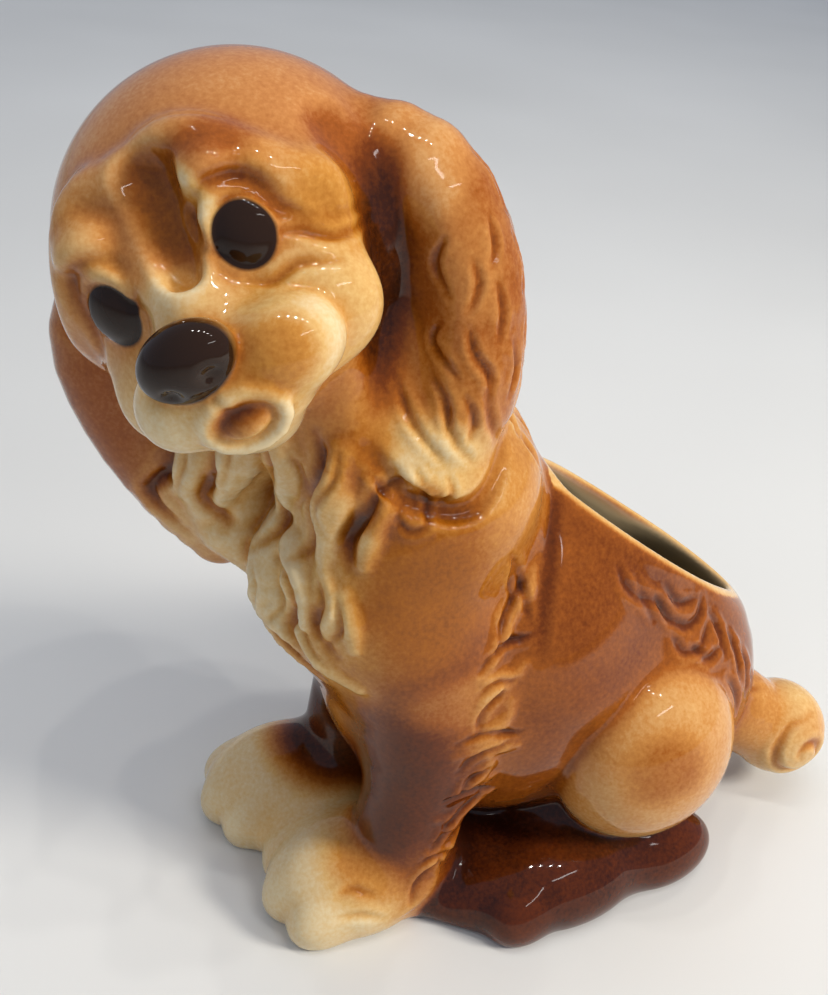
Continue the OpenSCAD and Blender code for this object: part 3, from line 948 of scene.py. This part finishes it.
def painted(skin, found, height):
    """The sprays, a few of them painted highlights and painted shade, then the feet, the hollows, the
    eyes, the nose, the lining and the rim.
    """
    paint = Paint(skin.places, found[:, 1], found[:, 2])
    for sprays, place in ((FACE_SPRAYS, HEAD), (BODY_SPRAYS, WORLD)):
        for spray in sprays:
            paint.spray(*spray, place)
    feet = [PIECES.index(name) for name in ("hind_foot_left", "hind_foot_right", "base")]
    feet = skin.smoothed(np.isin(found[:, 0], feet).astype(np.float32), 3)
    paint.stain_and_shading += feet * (FOOT_TONE - paint.stain_and_shading)
    paint.warm += feet * (FOOT_TONE - paint.warm)
    normal = skin.normals(skin.places)
    hollow = ((skin.spread(skin.places) - skin.places) * normal).sum(axis=1)
    hollow = skin.smoothed((hollow / VOXEL ** 2).astype(np.float32), 3)
    broad = skin.smoothed(hollow, 20)
    paint.stain_and_shading += np.clip(hollow * 0.7, -0.06, 0.12) + np.clip(broad * 1.4, -0.08, 0.16)
    paint.stain_and_shading += np.clip(-height, 0, 1.6) * 0.26 - np.clip(height, 0, 0.6) * 0.2
    paint.stain_and_shading = np.clip(paint.stain_and_shading, 0.02, 1)
    q = HEAD.inside(skin.places)
    for side in (LEFT, RIGHT):
        eye = (q - vec(side * EYE_X, -33, EYE_Z)) @ turned(Z, side * EYE_TURN)
        paint.blacken(eye, (5.5, 9, 6.1), 5.5)
    paint.blacken((q - vec(NOSE_X, -49, NOSE_Z)) @ turned(X, NOSE_TURN), (9.6, 7.2, 6.9), 7)
    lining = 1 - ramp(trunk_outside(skin.places) + WALL, -0.5, 1.5)
    paint.inside = lining * (skin.places[:, 2] > POCKET_FLOOR - 1)
    edge = ramp(height_at_rim(skin.places), -1.6, -0.4) * (found[:, 0] == PIECES.index("planter_body"))
    paint.stain_and_shading += edge * (RIM_STAIN - paint.stain_and_shading)
    paint.warm += edge * (RIM_WARMTH - paint.warm)
    return paint


# --- Pieces ---


def closed_piece(name, skin, outer, inner, normal, chosen, channels):
    """A thin closed shell: its share of the surface, an inner copy, and the edge between."""
    quads = skin.quads[chosen]
    used, local = np.unique(quads, return_inverse=True)
    local = local.reshape(-1, 4)
    count = len(used)
    start, end = (ends.astype(np.int64) for ends in edges_of(local))
    open_edge = ~np.isin(start * count + end, end * count + start)
    a, b = start[open_edge], end[open_edge]
    sides = np.stack([b, a, a + count, b + count], axis=1)
    faces = np.concatenate([local, local[:, ::-1] + count, sides]).astype(np.int32)
    places = np.concatenate([outer[used], inner[used]]).astype(np.float32) * MM
    mesh = bpy.data.meshes.new(name)
    mesh.vertices.add(len(places))
    mesh.vertices.foreach_set("co", places.ravel())
    mesh.loops.add(faces.size)
    mesh.loops.foreach_set("vertex_index", faces.ravel())
    mesh.polygons.add(len(faces))
    mesh.polygons.foreach_set("loop_start", np.arange(0, faces.size, 4, dtype=np.int32))
    mesh.polygons.foreach_set("use_smooth", np.ones(len(faces), dtype=bool))
    mesh.update(calc_edges=True)
    flat = np.cross(places[sides[:, 1]] - places[sides[:, 0]],
                    places[sides[:, 3]] - places[sides[:, 0]])
    flat /= np.maximum(length(flat), 1e-12)[:, None]
    around = normal[used]
    at_loops = np.concatenate([around[local].reshape(-1, 3), -around[local[:, ::-1]].reshape(-1, 3),
                               np.repeat(flat, 4, axis=0)]).astype(np.float32)
    mesh.normals_split_custom_set(at_loops)
    for label, values in channels.items():
        data = mesh.attributes.new(label, "FLOAT", "POINT").data
        data.foreach_set("value", np.tile(values[used], 2).astype(np.float32))
    piece = bpy.data.objects.new(name, mesh)
    bpy.context.scene.collection.objects.link(piece)
    return piece


# --- Materials ---


def linear(*rgb):
    """A colour given as 0 to 255 screen values."""
    out = []
    for value in rgb:
        v = value / 255
        out.append(v / 12.92 if v <= 0.04045 else ((v + 0.055) / 1.055) ** 2.4)
    return (*out, 1.0)


OCHRE = [(0.0, (224, 203, 158)), (0.18, (214, 174, 106)), (0.38, (192, 132, 50)),
         (0.58, (156, 90, 14)), (0.78, (106, 53, 4)), (1.0, (54, 24, 4))]
LINING = (160, 148, 116)
BLACK = (40, 24, 13)
RUST = [(0.0, (222, 198, 158)), (0.18, (214, 168, 118)), (0.38, (188, 124, 74)),
        (0.58, (148, 77, 30)), (0.78, (102, 44, 12)), (1.0, (50, 20, 9))]


class Graph:
    """Short names for the few kinds of node that the glaze uses."""

    def __init__(self, name):
        self.material = bpy.data.materials.new(name)
        self.material.use_nodes = True
        self.nodes = self.material.node_tree.nodes
        self.links = self.material.node_tree.links
        self.nodes.clear()
        self.where = self.nodes.new("ShaderNodeTexCoord").outputs["Object"]

    def put(self, socket, value):
        if isinstance(value, bpy.types.NodeSocket):
            self.links.new(value, socket)
        else:
            socket.default_value = value

    def math(self, kind, a, b=0.0, clamp=False):
        node = self.nodes.new("ShaderNodeMath")
        node.operation = kind
        node.use_clamp = clamp
        self.put(node.inputs[0], a)
        self.put(node.inputs[1], b)
        return node.outputs[0]

    def attribute(self, name):
        node = self.nodes.new("ShaderNodeAttribute")
        node.attribute_name = name
        return node.outputs["Fac"]

    def noise(self, scale, detail=2.0, rough=0.5):
        node = self.nodes.new("ShaderNodeTexNoise")
        node.inputs["Scale"].default_value = scale
        node.inputs["Detail"].default_value = detail
        node.inputs["Roughness"].default_value = rough
        self.links.new(self.where, node.inputs["Vector"])
        return node.outputs["Fac"]

    def ramp(self, value, stops):
        node = self.nodes.new("ShaderNodeValToRGB")
        items = node.color_ramp.elements
        while len(items) < len(stops):
            items.new(0.5)
        for item, (at, colour) in zip(items, stops):
            item.position = at
            item.color = linear(*colour)
        self.put(node.inputs["Fac"], value)
        return node.outputs["Color"]

    def mix(self, share, a, b):
        node = self.nodes.new("ShaderNodeMix")
        node.data_type = "RGBA"
        self.put(node.inputs["Factor"], share)
        self.put(node.inputs["A"], a)
        self.put(node.inputs["B"], b)
        return node.outputs["Result"]

    def surface(self, colour, roughness, specular):
        """The shader, linked to the output."""
        shader = self.nodes.new("ShaderNodeBsdfPrincipled")
        self.put(shader.inputs["Base Color"], colour)
        shader.inputs["Roughness"].default_value = roughness
        shader.inputs["Specular IOR Level"].default_value = specular
        out = self.nodes.new("ShaderNodeOutputMaterial")
        self.links.new(shader.outputs["BSDF"], out.inputs["Surface"])
        return shader


def glaze(slot):
    """Airbrushed stains, with a few painted highlights and patches of painted shade, under a clear gloss
    glaze.
    """
    g = Graph(slot)
    drift = g.math("MULTIPLY", g.math("SUBTRACT", g.noise(70, 3.0, 0.55), 0.5), 0.16)
    mist = g.math("MULTIPLY", g.math("SUBTRACT", g.noise(900, 2.0, 0.6), 0.5), 0.24)
    # The stain attribute also holds the painted highlights and painted shade of a few sprays.
    level = g.math("ADD", g.math("ADD", g.attribute("stain_and_shading"), drift), mist, clamp=True)
    warm = g.math("ADD", g.attribute("warm"), g.math("MULTIPLY", drift, 1.2), clamp=True)
    colour = g.mix(warm, g.ramp(level, OCHRE), g.ramp(level, RUST))
    colour = g.mix(g.attribute("inside"), colour, linear(*LINING))
    outline = g.math("SUBTRACT", 0.5, g.math("MULTIPLY", g.attribute("black"), 1.6), clamp=True)
    shader = g.surface(g.mix(outline, colour, linear(*BLACK)), 0.06, 0.32)
    shader.inputs["IOR"].default_value = 1.5
    ripple = g.nodes.new("ShaderNodeBump")
    ripple.inputs["Strength"].default_value = 0.03
    ripple.inputs["Distance"].default_value = 0.0006
    g.links.new(g.noise(160), ripple.inputs["Height"])
    g.links.new(ripple.outputs["Normal"], shader.inputs["Normal"])
    return g.material


# --- Camera, lights and floor ---

LENS = 40.160804
DAYLIGHT = (1.0, 0.97, 0.92)
BULB = (1.0, 0.98, 0.95)
SUNLIT = (1.0, 0.94, 0.86)


def stand(thing, at, back, roll=0.0):
    """Links an object to the scene, at a place in millimetres, with its own Z along back."""
    right = np.cross((0, 0, 1), back)
    right /= np.linalg.norm(right)
    up = np.cross(back, right)
    c, s = math.cos(math.radians(roll)), math.sin(math.radians(roll))
    place = np.eye(4)
    place[:3, 0], place[:3, 1], place[:3, 2] = c * right + s * up, c * up - s * right, back
    place[:3, 3] = at * MM
    thing.matrix_world = place.T.tolist()
    bpy.context.scene.collection.objects.link(thing)


def look_from(azimuth, elevation, roll, distance, target):
    """A camera that looks at the target; azimuth 0 looks along +Y, 90 along -X."""
    az, el = math.radians(azimuth), math.radians(elevation)
    back = np.array([math.sin(az) * math.cos(el), -math.cos(az) * math.cos(el), math.sin(el)])
    data = bpy.data.cameras.new("camera")
    data.sensor_fit = "VERTICAL"
    data.sensor_height = 36
    data.lens = LENS
    data.clip_start = 0.01
    data.clip_end = 50
    camera = bpy.data.objects.new("camera", data)
    stand(camera, np.array(target) + back * distance, back, roll)
    bpy.context.scene.camera = camera


def lamp(name, at, aim, size, power, colour, shape="RECTANGLE", mirrored=True):
    """An area light, placed and aimed in millimetres; an unmirrored one leaves no highlight."""
    data = bpy.data.lights.new(name, "AREA")
    data.shape = shape
    data.size, data.size_y = size[0] * MM, size[1] * MM
    data.energy = power
    data.color = colour
    light = bpy.data.objects.new(name, data)
    light.visible_glossy = mirrored
    at, aim = np.array(at, dtype=float), np.array(aim, dtype=float)
    stand(light, at, (at - aim) / np.linalg.norm(at - aim))


def floor():
    mesh = bpy.data.meshes.new("floor")
    reach = 4.0  # metres
    corners = [(reach * x, reach * y, 0) for x, y in ((-1, -1), (1, -1), (1, 1), (-1, 1))]
    mesh.from_pydata(corners, [], [(0, 1, 2, 3)])
    obj = bpy.data.objects.new("floor", mesh)
    bpy.context.scene.collection.objects.link(obj)
    g = Graph("floor")
    g.surface(g.ramp(g.noise(3), [(0.3, (214, 214, 210)), (0.7, (222, 222, 218))]), 0.75, 0.2)
    mesh.materials.append(g.material)


def sky(colour, strength):
    world = bpy.data.worlds.new("studio")
    bpy.context.scene.world = world
    world.use_nodes = True
    back = world.node_tree.nodes["Background"]
    back.inputs["Color"].default_value = linear(*colour)
    back.inputs["Strength"].default_value = strength


# --- Make everything ---


def set_stage():
    look_from(64, 33, 5.4, 255, (0, -34, 112))
    floor()
    sky((188, 199, 222), 0.52)
    lamp("key", (620, 640, 640), (0, 0, 80), (240, 240), 9.6, SUNLIT, mirrored=False)
    lamp("fill", (300, -500, 900), (0, 0, 90), (600, 600), 0.9, BULB, mirrored=False)
    lamp("backdrop", (-1000, 500, 1200), (-1000, 450, 0), (1600, 1600), 5.5, DAYLIGHT,
         mirrored=False)
    for i in range(5):
        at = (-150 + 110 * i, -260 + 120 * i, 1000)
        lamp("spot_%d" % i, at, (0, 0, 100), (22, 22), 0.55, DAYLIGHT, "DISK")
    lamp("tube", (700, 250, 900), (0, 0, 80), (420, 40), 0.7, BULB)


def make_pieces():
    dog = build_dog()
    skin = sculpt(dog)
    found = in_parts(dog.nearest_piece, skin.places)
    label = found[:, 0].astype(int)
    at_rim = height_at_rim(skin.places) > -RIM_BAND
    label[(label == PIECES.index("planter_body")) & at_rim] = PIECES.index("pocket_rim")
    normal = skin.normals(skin.places)
    outer, height = carve(skin, dog, normal)
    paint = painted(skin, found, height)
    inner = skin.places - SHELL * skin.smoothed(normal, 4)
    normal = skin.smoothed(skin.normals(outer), 1)
    normal /= np.maximum(length(normal), 1e-6)[:, None]
    channels = {key: vars(paint)[key] for key in ("stain_and_shading", "warm", "black", "inside")}
    face_label = np.sort(label[skin.quads], axis=1)[:, 1]
    materials = {}
    for index, name in enumerate(PIECES):
        chosen = face_label == index
        if not chosen.any():
            raise RuntimeError("no surface for " + name)
        piece = closed_piece(name + "_glazed", skin, outer, inner, normal, chosen, channels)
        slot = "glaze_" + LOOKS[name][0]
        if slot not in materials:
            materials[slot] = glaze(slot)
        piece.data.materials.append(materials[slot])
        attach(piece, "root")
        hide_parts(name)


bpy.context.scene.view_settings.view_transform = "Standard"
set_stage()
make_pieces()
